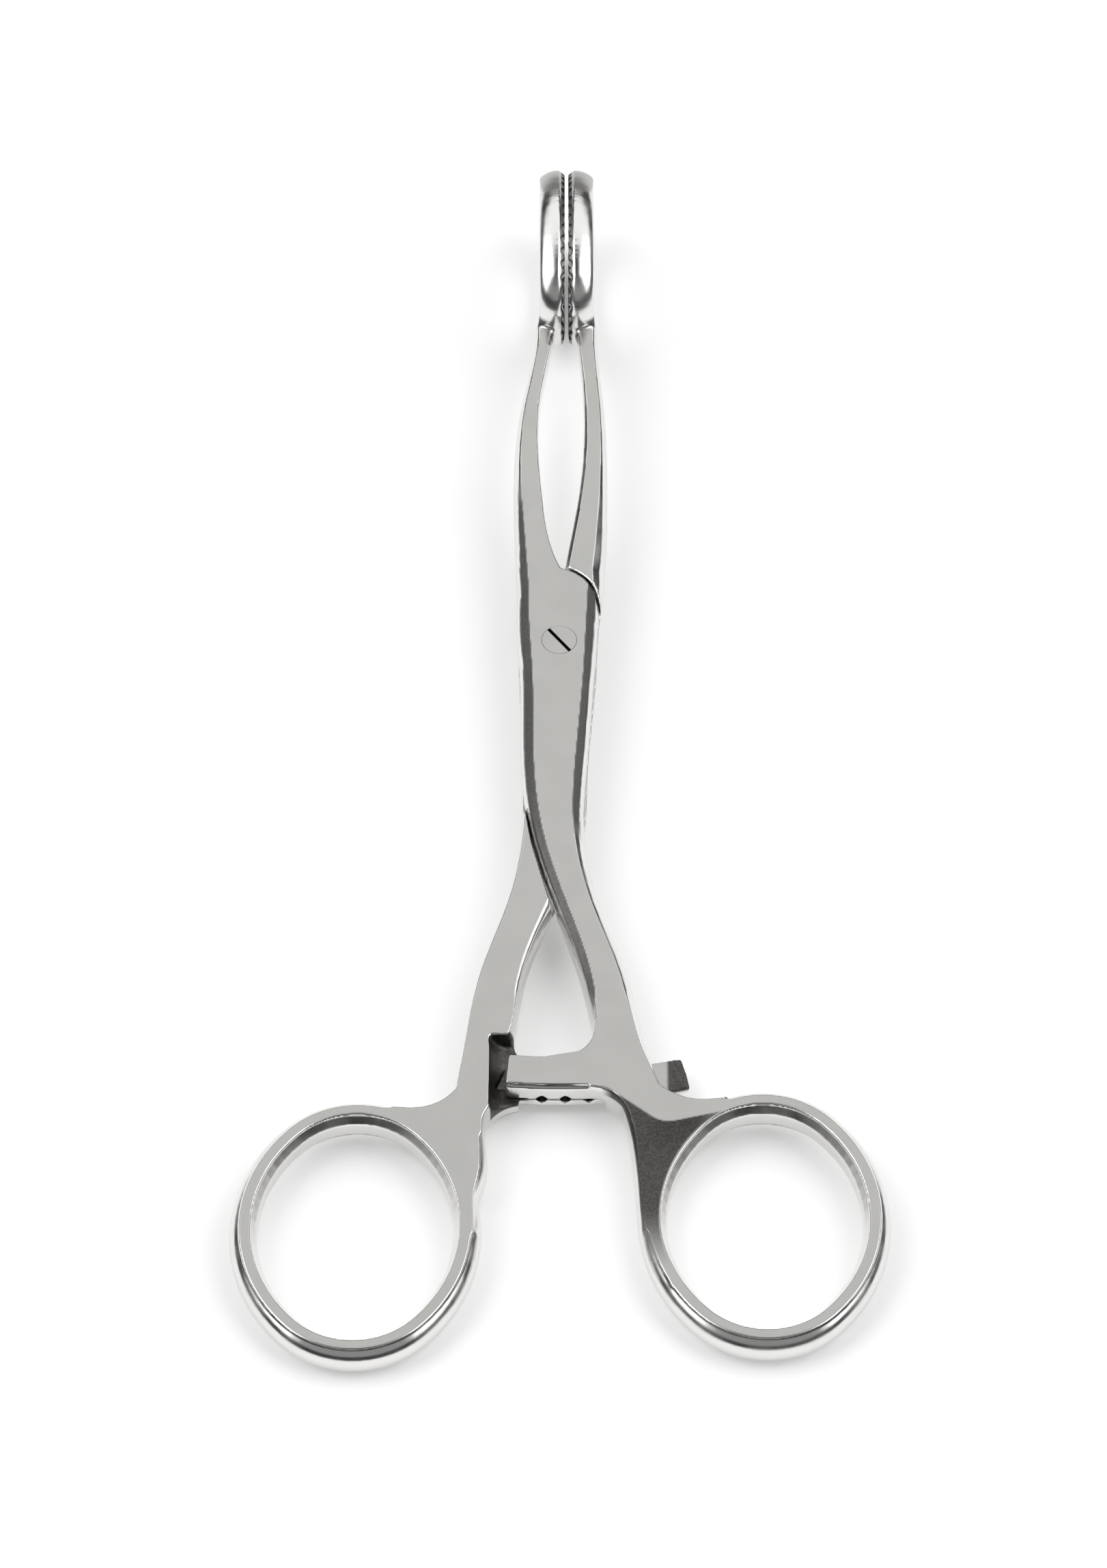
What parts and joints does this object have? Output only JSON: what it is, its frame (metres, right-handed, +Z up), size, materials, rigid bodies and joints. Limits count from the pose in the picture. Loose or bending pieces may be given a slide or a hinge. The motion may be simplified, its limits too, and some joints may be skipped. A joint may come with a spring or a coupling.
{
  "type": "tongue forceps",
  "caption": "Ring-handled tongue-holding forceps with two toothed open-loop jaws, a screwed lap joint and ratchet arms between the finger rings.",
  "frame": {"origin": "centre of the footprint, on the surface that the forceps lies on", "axes": "+Z up, +Y from the finger rings towards the jaws, +X to the right seen from above"},
  "size_m": [0.0734, 0.1739, 0.0169],
  "materials": {
    "forging_steel": "satin flats, polished sides",
    "screw_steel": "satin"
  },
  "bodies": {
    "lower": {"lower_half": "forging_steel", "pivot_screw": "screw_steel"},
    "upper": {"upper_half": "forging_steel"}
  },
  "joints": [
    {"name": "screw_hinge", "type": "hinge", "parent": "lower", "child": "upper", "pos_m": [-0.00007, 0.01227, 0.00587], "axis": [0, -0.0386, 0.9993], "range_deg": [0, 35]}
  ]
}
